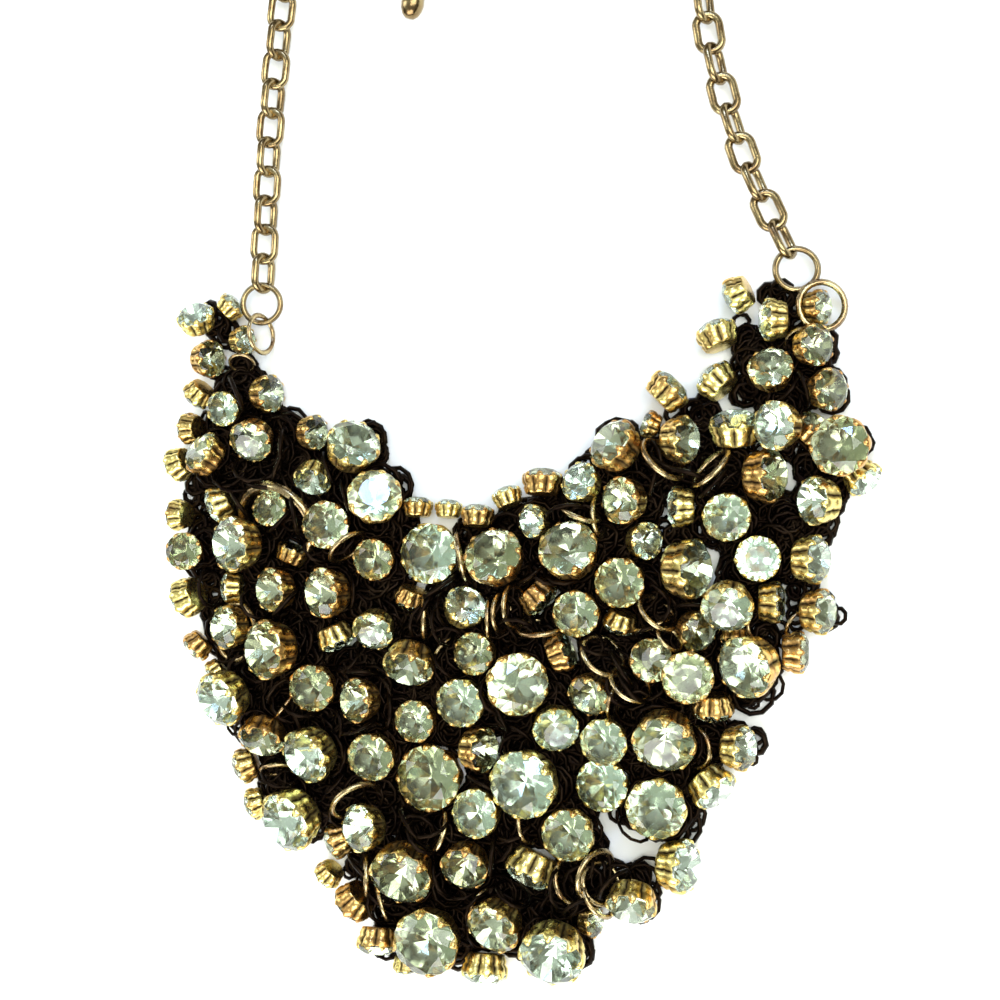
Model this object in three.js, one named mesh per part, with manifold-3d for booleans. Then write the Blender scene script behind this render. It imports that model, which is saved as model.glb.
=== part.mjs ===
// A bib necklace of round crystals in crown settings, hung from two cable chains.
// It lies flat on its back: X to the right, Y towards the clasp, Z up, millimetres.

import * as THREE from 'three';
import { mergeVertices } from 'three/addons/utils/BufferGeometryUtils.js';
import Module from 'manifold-3d';

const wasm = await Module();
wasm.setup();

// A crystal and its crown setting, as shares of the setting's width.
const cut = {
  sides: 8,
  girdle: 0.5,
  table: 0.27,
  crown: 0.2,
  base: 0.34,
  depth: 0.42,
  point: 0.46,
  wall: 0.06,
  rim: 0.03,
  floor: 0.09,
  hollow: 0.14,
  clearance: 0.03,
  foot: 0.2,
};

// The ball that stands for a stone and its setting while the stones are heaped.
const ball = { radius: 0.51, behind: 0.09 };
const heap = { rounds: 400, settling: 300, homing: 0.04, upwards: 1.5 };

// Cable chain: outer length and width of a link, its wire and the step from link to link.
const link = { length: 6.9, width: 4.8, wire: 1.1, pitch: 4.8, rollFlat: 12, rollUpright: 68, sides: 6 };

// The bar that strings a strand's stones, and the short bar that ties a large setting to it;
// hold, reach and height are shares of a stone's width.
const thread = { width: 1.5, sides: 4, hold: 0.3 };
const tie = { width: 1, reach: 0.25, height: 0.36 };
const gap = 0.25;

// Each chain starts with a shoulder ring and ends at an eye of the clasp.
const shoulderRing = { width: 7.2, wire: 0.95, sides: 12, roll: 15, slack: 0.4 };
const clasp = { place: [-2, 151], height: 2.4, length: 10, width: 4.8, flatness: 0.5, sunk: 0.3 };
const claspEye = { width: 5, wire: 1.2, sides: 8 };
const drop = { length: 7.5, width: 3.8, neck: 1.3, sides: 10, gap: 0.3 };

// The drop's outline from its neck to its tip, as shares of its width and its length.
const dropOutline = [
  { across: 0.84, along: 0.4 },
  { across: 1, along: 0.68 },
  { across: 0.7, along: 0.93 },
];

// How far a stone leans from facing straight up, in degrees, and how high it is heaped.
const leans = {
  flat: { angle: 0, lift: 0 },
  up: { angle: 9, lift: 2.5 },
  tilt: { angle: 30, lift: 2 },
  lean: { angle: 50, lift: 1.5 },
  side: { angle: 75, lift: 0.5 },
  back: { angle: 98, lift: 0 },
};

// Compass points, from E round through N, which is towards the clasp.
const winds = [
  'E', 'ENE', 'NE', 'NNE', 'N', 'NNW', 'NW', 'WNW', 'W', 'WSW', 'SW', 'SSW', 'S', 'SSE', 'SE', 'ESE',
];

// Every row below is one stone. Its columns are the x and y of its girdle, its width, the
// compass point that it faces and the name of its lean.

// The largest stones, each with a setting and a crystal of its own.
const largeStones = [
  [-13, -8.5, 10, 'E', 'flat'],
  [-1.5, -8.5, 9.5, 'N', 'tilt'],
  [11, -7.5, 9.5, 'N', 'tilt'],
  [29.5, -10.5, 9.5, 'E', 'side'],
  [38, -24, 9.5, 'WSW', 'tilt'],
  [25, -36.5, 10, 'S', 'tilt'],
  [24.5, -46, 9.5, 'SE', 'up'],
  [15, -43.7, 8.5, 'E', 'flat'],
  [3.5, -44, 11, 'SW', 'up'],
  [3.5, -28.5, 10, 'E', 'tilt'],
  [-13, -44, 11, 'E', 'flat'],
  [-41, -24, 10, 'W', 'tilt'],
  [-36, -52, 10.5, 'SW', 'tilt'],
  [-16.5, -59.5, 10.5, 'S', 'tilt'],
  [-12.5, -69, 11, 'S', 'up'],
  [51, 7.5, 9, 'W', 'up'],
];

// The other stones, strand by strand, in the order in which they are strung.
const strands = {
  left_edge: [
    [-52.5, 31, 6.5, 'N', 'lean'],
    [-52, 23, 6.5, 'E', 'side'],
    [-55, 17.5, 5.5, 'SW', 'back'],
    [-56.5, 12, 5.5, 'W', 'back'],
    [-58, 6, 6, 'WSW', 'back'],
    [-59, -2.5, 5.5, 'W', 'back'],
  ],
  left_flank: [
    [-56, -8.5, 6.5, 'E', 'up'],
    [-57, -16.5, 7, 'WSW', 'back'],
    [-55, -25, 5.5, 'SW', 'side'],
    [-52, -29, 4.5, 'SW', 'side'],
    [-48, -33, 9.5, 'SW', 'tilt'],
    [-46, -43.5, 6, 'WSW', 'side'],
    [-44.5, -50.3, 5.5, 'WSW', 'side'],
  ],
  left_inner: [
    [-49.6, 32, 5, 'NE', 'back'],
    [-46, 26.5, 5, 'E', 'side'],
    [-49, 15, 6, 'S', 'up'],
    [-53.5, 8, 7.5, 'NW', 'lean'],
    [-51, -1, 6.5, 'WSW', 'side'],
    [-46.5, -7, 9.5, 'W', 'tilt'],
    [-49, -15, 5.5, 'W', 'side'],
    [-47, -21, 7.5, 'W', 'tilt'],
  ],
  left_shoulder: [
    [-41, 17.5, 6.5, 'E', 'side'],
    [-43.5, 9.5, 7.5, 'S', 'tilt'],
    [-40.5, -1.5, 6, 'NE', 'up'],
    [-37.5, -8.8, 5.5, 'NNE', 'back'],
    [-39.5, -14, 7.5, 'W', 'tilt'],
  ],
  left_column: [
    [-33, 11, 6, 'E', 'side'],
    [-33, 3, 6.5, 'S', 'lean'],
    [-30, -4, 8, 'E', 'up'],
    [-30.5, -15, 8.5, 'W', 'tilt'],
    [-29.3, -22.7, 6.5, 'SSE', 'back'],
    [-33, -30, 8, 'S', 'up'],
    [-34, -41, 9.5, 'SW', 'tilt'],
    [-42, -39.5, 8, 'S', 'lean'],
  ],
  left_bib: [
    [-25, 9, 9, 'NE', 'lean'],
    [-20, 0.5, 9, 'NE', 'tilt'],
    [-22, -9.5, 7, 'S', 'up'],
    [-22, -21, 7, 'S', 'tilt'],
    [-25, -32, 7.5, 'W', 'tilt'],
    [-22, -41, 8, 'S', 'up'],
  ],
  neckline: [
    [-15.3, -0.6, 5, 'N', 'back'],
    [-10.7, -1.8, 4.5, 'N', 'back'],
    [-5.9, -1.4, 5.5, 'N', 'back'],
    [-1.2, 0.6, 5, 'NNW', 'back'],
    [4.5, -3, 5.5, 'W', 'tilt'],
    [5.5, 3, 6.5, 'N', 'back'],
    [12, 3, 6.5, 'NW', 'tilt'],
    [17.5, 7.5, 8.5, 'NW', 'lean'],
    [22.5, 11.5, 4.5, 'WNW', 'side'],
    [25.5, 16.5, 7, 'NE', 'back'],
  ],
  centre_left: [
    [-7, -31.5, 8, 'S', 'up'],
    [-5, -24.5, 7, 'W', 'up'],
    [-6.5, -16.5, 7, 'NE', 'lean'],
    [-16.5, -15.5, 5.5, 'SSW', 'back'],
    [-16, -26.5, 8.5, 'S', 'lean'],
    [-15, -35, 7, 'SW', 'up'],
  ],
  centre_right: [
    [5.2, -15.5, 6.5, 'SE', 'back'],
    [12, -17.5, 7.5, 'S', 'up'],
    [8.8, -23.5, 6.5, 'ENE', 'back'],
    [13.5, -31, 7, 'SSW', 'tilt'],
    [7.5, -35, 7.5, 'SE', 'tilt'],
    [16, -37, 7.5, 'S', 'up'],
  ],
  centre_foot: [
    [-4, -39, 7.5, 'E', 'side'],
    [-5, -47.5, 8, 'W', 'up'],
    [-6.5, -57.5, 8, 'S', 'tilt'],
    [4, -57.5, 8.5, 'SSW', 'side'],
    [9.5, -51, 8.5, 'S', 'up'],
  ],
  right_bib: [
    [22, -6.5, 6, 'E', 'lean'],
    [18, -11.5, 8, 'S', 'up'],
    [17, -19, 5.5, 'SSW', 'back'],
    [24, -24.5, 7, 'ENE', 'tilt'],
    [30.5, -20, 6.5, 'ESE', 'lean'],
    [35, -21, 4.5, 'S', 'side'],
    [36, -15.5, 8, 'S', 'tilt'],
    [41.5, -15, 6.5, 'E', 'back'],
  ],
  right_shoulder: [
    [18.5, 0.5, 7.5, 'W', 'tilt'],
    [26.5, -1, 6.5, 'W', 'side'],
    [28, 9.5, 7.5, 'E', 'side'],
    [35.5, 12, 8, 'N', 'side'],
    [42, 10.5, 7.5, 'W', 'tilt'],
    [47.5, 11.5, 6, 'NE', 'side'],
    [49, 16, 6.5, 'E', 'lean'],
    [48, 22.5, 6.5, 'E', 'lean'],
    [48, 27.5, 5.5, 'E', 'side'],
  ],
  right_collar: [
    [32.5, 18.5, 6.5, 'NW', 'back'],
    [32.5, 24.5, 6.5, 'NNW', 'back'],
    [35.5, 30, 6, 'WSW', 'back'],
    [40, 27, 6.5, 'W', 'side'],
    [41, 19.5, 7, 'N', 'tilt'],
  ],
  right_edge: [
    [54, 3.5, 6, 'SE', 'side'],
    [47, 0, 7.5, 'W', 'lean'],
    [41, 4, 8.5, 'E', 'side'],
    [35, -3, 7.5, 'S', 'up'],
    [39, -8.7, 7, 'E', 'up'],
    [47.5, -8.7, 7.5, 'E', 'side'],
    [46.5, -16.5, 7, 'E', 'side'],
    [43.5, -22.5, 6.5, 'E', 'back'],
  ],
  right_flank: [
    [30.5, -26.5, 8, 'E', 'up'],
    [32.5, -32, 6.5, 'S', 'back'],
    [35, -36.5, 7, 'E', 'side'],
    [33, -42.5, 7.5, 'SE', 'side'],
  ],
  right_foot: [
    [28, -55, 8.5, 'E', 'side'],
    [20, -61.5, 8, 'S', 'lean'],
    [13, -65.5, 5, 'E', 'side'],
    [8.5, -69, 10.5, 'S', 'tilt'],
    [-1.5, -67, 9, 'SSW', 'tilt'],
    [-3.7, -73.5, 7.5, 'S', 'side'],
  ],
  left_foot: [
    [-24.5, -52.5, 8, 'W', 'tilt'],
    [-30, -56, 6, 'WSW', 'side'],
    [-31, -60.5, 5, 'SW', 'back'],
    [-26, -66, 7, 'SW', 'back'],
    [-21.5, -71, 7, 'S', 'side'],
    [-18.5, -74, 4.5, 'S', 'back'],
  ],
};

// Where the chains run, from the bib's shoulders to the clasp and down the extender.
const leftRoute = [[-43, 37.5], [-41.8, 60], [-39.7, 80], [-35, 116], [-28, 138], [-17, 150], [-10.9, 151]];
const rightRoute = [[42.3, 38.8], [36.2, 52.5], [30.5, 75], [29, 116], [24, 138], [13, 150], [6.9, 151]];
const extenderRoute = [[-2, 144.7], [-2.2, 139], [-5, 125], [-10.5, 107], [-14.8, 88.2]];

// The finishes: bright brass settings, darker chains and clear glass.
const brass = () => new THREE.MeshStandardMaterial({ color: '#9a7b3c', roughness: 0.35, metalness: 1 });
const darkBrass = () => new THREE.MeshStandardMaterial({ color: '#7a5a2c', roughness: 0.4, metalness: 1 });
const glass = () => new THREE.MeshStandardMaterial({ color: '#c9d2cb', roughness: 0.05, metalness: 0.1 });

const necklace = new THREE.Group();

function addPiece(name, geometry, material) {
  const piece = new THREE.Mesh(geometry, material);
  piece.name = name;
  necklace.add(piece);
  return piece;
}

// A closed three.js geometry as a solid that can be joined with others.
function solidOf(geometry) {
  const bare = geometry.clone();
  bare.deleteAttribute('normal');
  bare.deleteAttribute('uv');
  const merged = mergeVertices(bare, 1e-4);
  const corners = [];
  const index = merged.index.array;
  for (let i = 0; i < index.length; i += 3) {
    const [a, b, c] = [index[i], index[i + 1], index[i + 2]];
    if (a !== b && b !== c && c !== a) corners.push(a, b, c);
  }
  return new wasm.Manifold(new wasm.Mesh({
    numProp: 3,
    vertProperties: new Float32Array(merged.attributes.position.array),
    triVerts: new Uint32Array(corners),
  }));
}

function geometryOf(solid) {
  const mesh = solid.getMesh();
  const geometry = new THREE.BufferGeometry();
  geometry.setAttribute('position', new THREE.BufferAttribute(new Float32Array(mesh.vertProperties), 3));
  geometry.setIndex(new THREE.BufferAttribute(new Uint32Array(mesh.triVerts), 1));
  geometry.computeVertexNormals();
  return geometry;
}

// Joins closed geometries into one body; the pockets shut in where wires cross are filled.
function join(geometries) {
  const whole = geometries.map(solidOf).reduce((joined, next) => joined.add(next));
  const parts = whole.decompose();
  return geometryOf(parts.reduce((largest, part) => (part.volume() > largest.volume() ? part : largest)));
}

// A faceted round body from [radius, height] pairs, turned to stand on +Z.
function turned(profile, sides) {
  const points = profile.map(([radius, height]) => new THREE.Vector2(radius, height));
  return new THREE.LatheGeometry(points, sides).rotateX(Math.PI / 2);
}

// Reads a row of the chart: its place, its width and the direction that it faces.
function readStone([x, y, width, wind, leanName]) {
  const lean = leans[leanName];
  const bearing = winds.indexOf(wind) * 2 * Math.PI / winds.length;
  const angle = THREE.MathUtils.degToRad(lean.angle);
  const facing = new THREE.Vector3(
    Math.sin(angle) * Math.cos(bearing),
    Math.sin(angle) * Math.sin(bearing),
    Math.cos(angle),
  );
  const level = Math.sqrt(1 - facing.z * facing.z);
  const steady = leanName === 'flat';
  const below = steady ? cut.depth : cut.point * facing.z;
  const ground = width * Math.max(cut.depth * facing.z + cut.base * level, cut.girdle * level, below);
  const home = new THREE.Vector3(x, y, ground + lean.lift);
  return { width, facing, ground, home, steady, place: home.clone() };
}

// Heaps the stones: pairs that would touch move apart, mostly upwards, and nothing sinks.
function settle(stones) {
  const apart = new THREE.Vector3();
  for (let round = 0; round < heap.rounds; round += 1) {
    for (let i = 0; i < stones.length; i += 1) {
      for (let j = i + 1; j < stones.length; j += 1) {
        const a = stones[i];
        const b = stones[j];
        apart.subVectors(coreOf(a), coreOf(b));
        const room = ball.radius * (a.width + b.width) + gap;
        const overlap = room - apart.length();
        if (overlap <= 0) continue;
        apart.normalize();
        apart.z *= heap.upwards;
        if (!a.steady) a.place.addScaledVector(apart, overlap * (b.steady ? 1 : 0.5));
        if (!b.steady) b.place.addScaledVector(apart, -overlap * (a.steady ? 1 : 0.5));
      }
    }
    for (const stone of stones) {
      if (stone.steady) continue;
      if (round < heap.settling) stone.place.lerp(stone.home, heap.homing);
      stone.place.z = Math.max(stone.place.z, stone.ground);
    }
  }
}

// A stone with its setting as one body: a crown of facets, a flaring cup and a low point below.
function stoneBody(width) {
  const profile = [
    [0, -cut.point],
    [cut.base, -cut.depth],
    [cut.girdle, 0],
    [cut.table, cut.crown],
    [0, cut.crown],
  ];
  return turned(profile.map(([r, h]) => [r * width, h * width]), cut.sides);
}

function settingBody(width) {
  const inner = cut.girdle - cut.wall;
  const profile = [
    [0, -cut.depth],
    [cut.base, -cut.depth],
    [cut.girdle, 0],
    [inner, cut.rim],
    [cut.base - cut.wall, cut.hollow - cut.depth],
    [0, cut.floor - cut.depth],
  ];
  return turned(profile.map(([r, h]) => [r * width, h * width]), cut.sides);
}

function crystalBody(width) {
  const inner = cut.girdle - cut.wall - cut.clearance;
  const profile = [
    [0, cut.hollow - cut.depth],
    [cut.base - 2 * cut.wall, cut.foot - cut.depth],
    [inner, cut.rim],
    [cut.table, cut.crown],
    [0, cut.crown],
  ];
  return turned(profile.map(([r, h]) => [r * width, h * width]), cut.sides);
}

function turnTo(facing) {
  return new THREE.Quaternion().setFromUnitVectors(new THREE.Vector3(0, 0, 1), facing);
}

// A straight run of thread between two points.
function threadRun(from, to, width) {
  const run = new THREE.Vector3().subVectors(to, from);
  const bar = new THREE.CylinderGeometry(width / 2, width / 2, run.length(), thread.sides);
  bar.rotateX(Math.PI / 2);
  bar.applyQuaternion(turnTo(run.clone().normalize()));
  return bar.translate((from.x + to.x) / 2, (from.y + to.y) / 2, (from.z + to.z) / 2);
}

// The middle of the ball that a stone and its setting fill.
function coreOf(stone) {
  return stone.place.clone().addScaledVector(stone.facing, -ball.behind * stone.width);
}

// A tie runs from the rim of a large setting's base towards the nearest strung stone.
function tieRun(stone, strung) {
  const base = stone.place.clone().addScaledVector(stone.facing, -tie.height * stone.width);
  const far = (other) => coreOf(other).distanceTo(base) - other.width / 2;
  const nearest = strung.reduce((best, other) => (far(other) < far(best) ? other : best));
  const aim = coreOf(nearest);
  const outward = aim.clone().sub(base).projectOnPlane(stone.facing).normalize();
  const start = base.addScaledVector(outward, tie.reach * stone.width);
  const toStone = aim.clone().sub(start);
  const reach = toStone.length() - nearest.width / 2 - gap;
  return threadRun(start, start.clone().addScaledVector(toStone.normalize(), reach), tie.width);
}

function strandBody(stones) {
  const bodies = stones.map((stone) => {
    const body = stoneBody(stone.width).applyQuaternion(turnTo(stone.facing));
    return body.translate(stone.place.x, stone.place.y, stone.place.z);
  });
  const holdOf = ({ place, facing, width }) => place.clone().addScaledVector(facing, -thread.hold * width);
  const holds = stones.map(holdOf);
  for (let i = 1; i < holds.length; i += 1) bodies.push(threadRun(holds[i - 1], holds[i], thread.width));
  return join(bodies);
}

// A wire loop of straight runs: a torus widened to its full width, its halves drawn apart along X.
// No corner of it stands at X = 0, because a corner there would belong to neither half.
function wireLoop(length, width, wire, sides) {
  const loop = new THREE.TorusGeometry((width - wire) / 2, wire / 2, 4, sides);
  if (sides % 4 === 0) loop.rotateZ(Math.PI / sides);
  loop.scale(1, 1 / Math.cos(Math.PI / sides), 1);
  const position = loop.attributes.position;
  const stretch = (length - width) / 2;
  for (let i = 0; i < position.count; i += 1) {
    position.setX(i, position.getX(i) + Math.sign(position.getX(i)) * stretch);
  }
  return loop;
}

// Places a loop on a route: its centre, the direction that it points in and its roll.
function layLoop(loop, centre, heading, roll) {
  loop.rotateX(THREE.MathUtils.degToRad(roll));
  loop.rotateZ(heading);
  return loop.translate(centre.x, centre.y, centre.z);
}

function chainBody(route, firstRing) {
  const height = link.width / 2;
  const curve = new THREE.CatmullRomCurve3(route.map(([x, y]) => new THREE.Vector3(x, y, height)));
  const count = 2 * Math.round(curve.getLength() / link.pitch / 2);
  const loops = [];
  for (let i = 0; i <= count; i += 1) {
    const centre = curve.getPointAt(i / count);
    const along = curve.getTangentAt(i / count);
    const roll = i % 2 === 0 ? link.rollUpright : link.rollFlat;
    const loop = wireLoop(link.length, link.width, link.wire, link.sides);
    loops.push(layLoop(loop, centre, Math.atan2(along.y, along.x), roll));
  }
  if (firstRing) {
    const along = curve.getTangentAt(0);
    const reach = (link.length + firstRing.width - firstRing.wire) / 2 - link.wire - firstRing.slack;
    const centre = curve.getPointAt(0).addScaledVector(along, -reach);
    const ring = wireLoop(firstRing.width, firstRing.width, firstRing.wire, firstRing.sides);
    loops.push(layLoop(ring, centre, Math.atan2(along.y, along.x), firstRing.roll));
  }
  return join(loops);
}

// The clasp is one plain body: a flattened capsule with an eye at each end and one below.
function claspBody() {
  const [x, y] = clasp.place;
  const body = new THREE.CapsuleGeometry(clasp.width / 2, clasp.length - clasp.width, 3, 10);
  body.rotateZ(Math.PI / 2);
  body.scale(1, 1, clasp.flatness);
  const reach = claspEye.width / 2 - claspEye.wire - clasp.sunk;
  const eyes = [
    [-clasp.length / 2 - reach, 0],
    [clasp.length / 2 + reach, 0],
    [0, -clasp.width / 2 - reach],
  ];
  const rings = eyes.map(([right, up]) => {
    return wireLoop(claspEye.width, claspEye.width, claspEye.wire, claspEye.sides).translate(right, up, 0);
  });
  return join([body, ...rings]).translate(x, y, clasp.height);
}

// The drop lies in line with the last link of the extender.
function dropBody() {
  const flanks = dropOutline.map(({ across, along }) => [across * drop.width / 2, along * drop.length]);
  const profile = [[0, 0], [drop.neck / 2, 0], ...flanks, [0, drop.length]];
  const [fromX, fromY] = extenderRoute[extenderRoute.length - 2];
  const [toX, toY] = extenderRoute[extenderRoute.length - 1];
  const heading = new THREE.Vector3(toX - fromX, toY - fromY, 0).normalize();
  const body = turned(profile, drop.sides).applyQuaternion(turnTo(heading));
  const start = link.length / 2 + drop.gap;
  return body.translate(toX + heading.x * start, toY + heading.y * start, drop.width / 2);
}

function addBib() {
  const large = largeStones.map(readStone);
  const strung = Object.entries(strands).map(([name, rows]) => [name, rows.map(readStone)]);
  const allStrung = strung.flatMap(([, stones]) => stones);
  settle([...large, ...allStrung]);
  large.forEach((stone, i) => {
    const number = String(i + 1).padStart(2, '0');
    const placed = (body) => {
      const { x, y, z } = stone.place;
      return body.applyQuaternion(turnTo(stone.facing)).translate(x, y, z);
    };
    const setting = join([placed(settingBody(stone.width)), tieRun(stone, allStrung)]);
    addPiece(`setting_${number}`, setting, brass());
    addPiece(`crystal_${number}`, placed(crystalBody(stone.width)), glass());
  });
  for (const [name, stones] of strung) addPiece(`strand_${name}`, strandBody(stones), brass());
}

function addChains() {
  addPiece('chain_left', chainBody(leftRoute, shoulderRing), darkBrass());
  addPiece('chain_right', chainBody(rightRoute, shoulderRing), darkBrass());
  addPiece('extender_chain', chainBody(extenderRoute), darkBrass());
  addPiece('extender_drop', dropBody(), brass());
  addPiece('clasp', claspBody(), brass());
}

addBib();
addChains();

// The origin is under the middle of the whole necklace.
const box = new THREE.Box3().setFromObject(necklace, true);
const middle = box.getCenter(new THREE.Vector3());
necklace.position.set(-middle.x, -middle.y, -box.min.z);

export default necklace;
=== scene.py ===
import itertools
import math
import random

import bmesh
import bpy
import numpy as np
from mathutils import Matrix, Quaternion, Vector


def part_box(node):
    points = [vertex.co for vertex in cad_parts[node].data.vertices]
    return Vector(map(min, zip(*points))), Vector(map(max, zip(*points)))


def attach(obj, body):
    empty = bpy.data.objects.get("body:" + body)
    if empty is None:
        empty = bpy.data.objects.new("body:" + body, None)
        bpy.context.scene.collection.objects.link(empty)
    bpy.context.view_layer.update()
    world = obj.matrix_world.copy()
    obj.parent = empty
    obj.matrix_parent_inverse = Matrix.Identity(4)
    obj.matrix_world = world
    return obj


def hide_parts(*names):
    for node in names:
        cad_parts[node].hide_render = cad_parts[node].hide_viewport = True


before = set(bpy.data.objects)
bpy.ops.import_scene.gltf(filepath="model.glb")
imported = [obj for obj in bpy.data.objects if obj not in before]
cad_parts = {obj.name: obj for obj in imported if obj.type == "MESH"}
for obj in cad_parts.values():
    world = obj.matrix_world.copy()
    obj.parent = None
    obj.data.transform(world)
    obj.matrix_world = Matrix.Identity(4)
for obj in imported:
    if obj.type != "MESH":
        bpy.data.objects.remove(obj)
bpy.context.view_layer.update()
mm = 0.001
up = Vector((0, 0, 1))

# The chart of the necklace counts millimetres from a point that lies this far from the first stone.
chart = {"stone": "crystal_01", "stoneAt": (-13.0, -8.5)}
low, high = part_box(chart["stone"])
origin = Vector(((low.x + high.x) / 2, (low.y + high.y) / 2, 0)) - Vector((*chart["stoneAt"], 0)) * mm


def atChart(x, y, z=0.0):
    return origin + Vector((x, y, z)) * mm


def say(stage):
    print("necklace:", stage, flush=True)


# Node helpers.

def addNode(tree, kind, settings=None, **inputs):
    node = tree.nodes.new(kind)
    for name, value in (settings or {}).items():
        setattr(node, name, value)
    for name, value in inputs.items():
        setInput(tree, node.inputs[name.replace("_", " ")], value)
    return node


def setInput(tree, socket, value):
    if isinstance(value, bpy.types.NodeSocket):
        tree.links.new(value, socket)
    else:
        socket.default_value = value


def groupTree(name, kind, inputs, outputs):
    tree = bpy.data.node_groups.new(name, kind)
    for direction, sockets in (("INPUT", inputs), ("OUTPUT", outputs)):
        for label, (socketType, value) in sockets.items():
            socket = tree.interface.new_socket(label, in_out=direction, socket_type=socketType)
            if value is not None:
                socket.default_value = value
    return tree, tree.nodes.new("NodeGroupInput"), tree.nodes.new("NodeGroupOutput")


def maths(tree, operation, a, b=0.0, clamp=False):
    node = tree.nodes.new("ShaderNodeMath")
    node.operation = operation
    node.use_clamp = clamp
    setInput(tree, node.inputs[0], a)
    setInput(tree, node.inputs[1], b)
    return node.outputs[0]


def mixColour(tree, factor, a, b, blend="MIX"):
    node = tree.nodes.new("ShaderNodeMix")
    node.data_type = "RGBA"
    node.blend_type = blend
    setInput(tree, node.inputs[0], factor)
    setInput(tree, node.inputs[6], a)
    setInput(tree, node.inputs[7], b)
    return node.outputs[2]


def noise(tree, vector, scale, detail=3.0, roughness=0.55):
    node = addNode(tree, "ShaderNodeTexNoise", Scale=scale, Detail=detail, Roughness=roughness)
    tree.links.new(vector, node.inputs["Vector"])
    return node.outputs["Fac"]


def between(tree, value, start, end, low=0.0, high=1.0):
    node = tree.nodes.new("ShaderNodeMapRange")
    setInput(tree, node.inputs["Value"], value)
    for name, number in (("From Min", start), ("From Max", end), ("To Min", low), ("To Max", high)):
        setInput(tree, node.inputs[name], number)
    return node.outputs["Result"]


# Shared surface effects.

def patinaGroup():
    floatSocket, colourSocket, vectorSocket = "NodeSocketFloat", "NodeSocketColor", "NodeSocketVector"
    tree, start, end = groupTree("patina", "ShaderNodeTree", {
        "Vector": (vectorSocket, None),
        "Bright": (colourSocket, (0.8, 0.6, 0.2, 1)),
        "Worn": (colourSocket, (0.5, 0.3, 0.1, 1)),
        "Grime": (colourSocket, (0.03, 0.02, 0.01, 1)),
        "Recess": (floatSocket, 0.0),
        "Tone": (floatSocket, 0.5),
        "Scale": (floatSocket, 400.0),
        "Shine": (floatSocket, 0.2),
    }, {
        "Color": (colourSocket, None),
        "Roughness": (floatSocket, None),
        "Height": (floatSocket, None),
    })
    read = start.outputs
    coarse = noise(tree, read["Vector"], read["Scale"])
    fine = noise(tree, read["Vector"], maths(tree, "MULTIPLY", read["Scale"], 6.0), 4.0, 0.65)
    stain = between(tree, maths(tree, "ADD", coarse, maths(tree, "MULTIPLY", read["Tone"], 0.5)), 0.6, 0.95)
    metal = mixColour(tree, stain, read["Bright"], read["Worn"])
    soiled = maths(tree, "ADD", read["Recess"], maths(tree, "MULTIPLY", fine, 0.45))
    dirt = between(tree, soiled, 0.62, 1.15)
    colour = mixColour(tree, dirt, metal, read["Grime"])
    rough = maths(tree, "ADD", read["Shine"], between(tree, fine, 0.35, 0.75, -0.04, 0.14))
    rough = maths(tree, "ADD", rough, maths(tree, "MULTIPLY", dirt, 0.4), clamp=True)
    tree.links.new(colour, end.inputs["Color"])
    tree.links.new(rough, end.inputs["Roughness"])
    tree.links.new(fine, end.inputs["Height"])
    return tree


def hazeGroup():
    tree, start, end = groupTree("haze", "ShaderNodeTree", {
        "Vector": ("NodeSocketVector", None),
        "Clear": ("NodeSocketColor", (0.8, 0.9, 0.85, 1)),
        "Smoky": ("NodeSocketColor", (0.6, 0.6, 0.5, 1)),
        "Tint": ("NodeSocketFloat", 0.5),
        "Scale": ("NodeSocketFloat", 300.0),
        "Gloss": ("NodeSocketFloat", 0.02),
    }, {
        "Color": ("NodeSocketColor", None),
        "Roughness": ("NodeSocketFloat", None),
    })
    read = start.outputs
    cloud = noise(tree, read["Vector"], read["Scale"], 2.0)
    mix = maths(tree, "ADD", read["Tint"], between(tree, cloud, 0.3, 0.7, -0.2, 0.2), clamp=True)
    smear = noise(tree, read["Vector"], maths(tree, "MULTIPLY", read["Scale"], 9.0), 3.0)
    rough = maths(tree, "ADD", read["Gloss"], between(tree, smear, 0.55, 0.8, 0.0, 0.08), clamp=True)
    tree.links.new(mixColour(tree, mix, read["Clear"], read["Smoky"]), end.inputs["Color"])
    tree.links.new(rough, end.inputs["Roughness"])
    return tree


def newMaterial(name):
    material = bpy.data.materials.new(name)
    material.use_nodes = True
    tree = material.node_tree
    tree.nodes.clear()
    surface = tree.nodes.new("ShaderNodeBsdfPrincipled")
    output = tree.nodes.new("ShaderNodeOutputMaterial")
    tree.links.new(surface.outputs[0], output.inputs["Surface"])
    place = tree.nodes.new("ShaderNodeTexCoord")
    return material, tree, surface, place.outputs["Object"]


def attributeOf(tree, name):
    node = tree.nodes.new("ShaderNodeAttribute")
    node.attribute_name = name
    return node.outputs["Fac"]


def brassMaterial(name, look, recess=None, tone=None):
    material, tree, surface, place = newMaterial(name)
    group = addNode(tree, "ShaderNodeGroup", {"node_tree": patina}, Vector=place)
    for label in ("Bright", "Worn", "Grime"):
        group.inputs[label].default_value = (*look[label.lower()], 1)
    group.inputs["Scale"].default_value = look["scale"]
    group.inputs["Shine"].default_value = look["shine"]
    setInput(tree, group.inputs["Recess"], attributeOf(tree, recess) if recess else 0.0)
    setInput(tree, group.inputs["Tone"], attributeOf(tree, tone) if tone else look["tone"])
    bump = addNode(tree, "ShaderNodeBump", Strength=look["bump"], Distance=0.00008)
    tree.links.new(group.outputs["Height"], bump.inputs["Height"])
    tree.links.new(group.outputs["Color"], surface.inputs["Base Color"])
    tree.links.new(group.outputs["Roughness"], surface.inputs["Roughness"])
    tree.links.new(bump.outputs["Normal"], surface.inputs["Normal"])
    surface.inputs["Metallic"].default_value = 1
    return material


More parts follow.
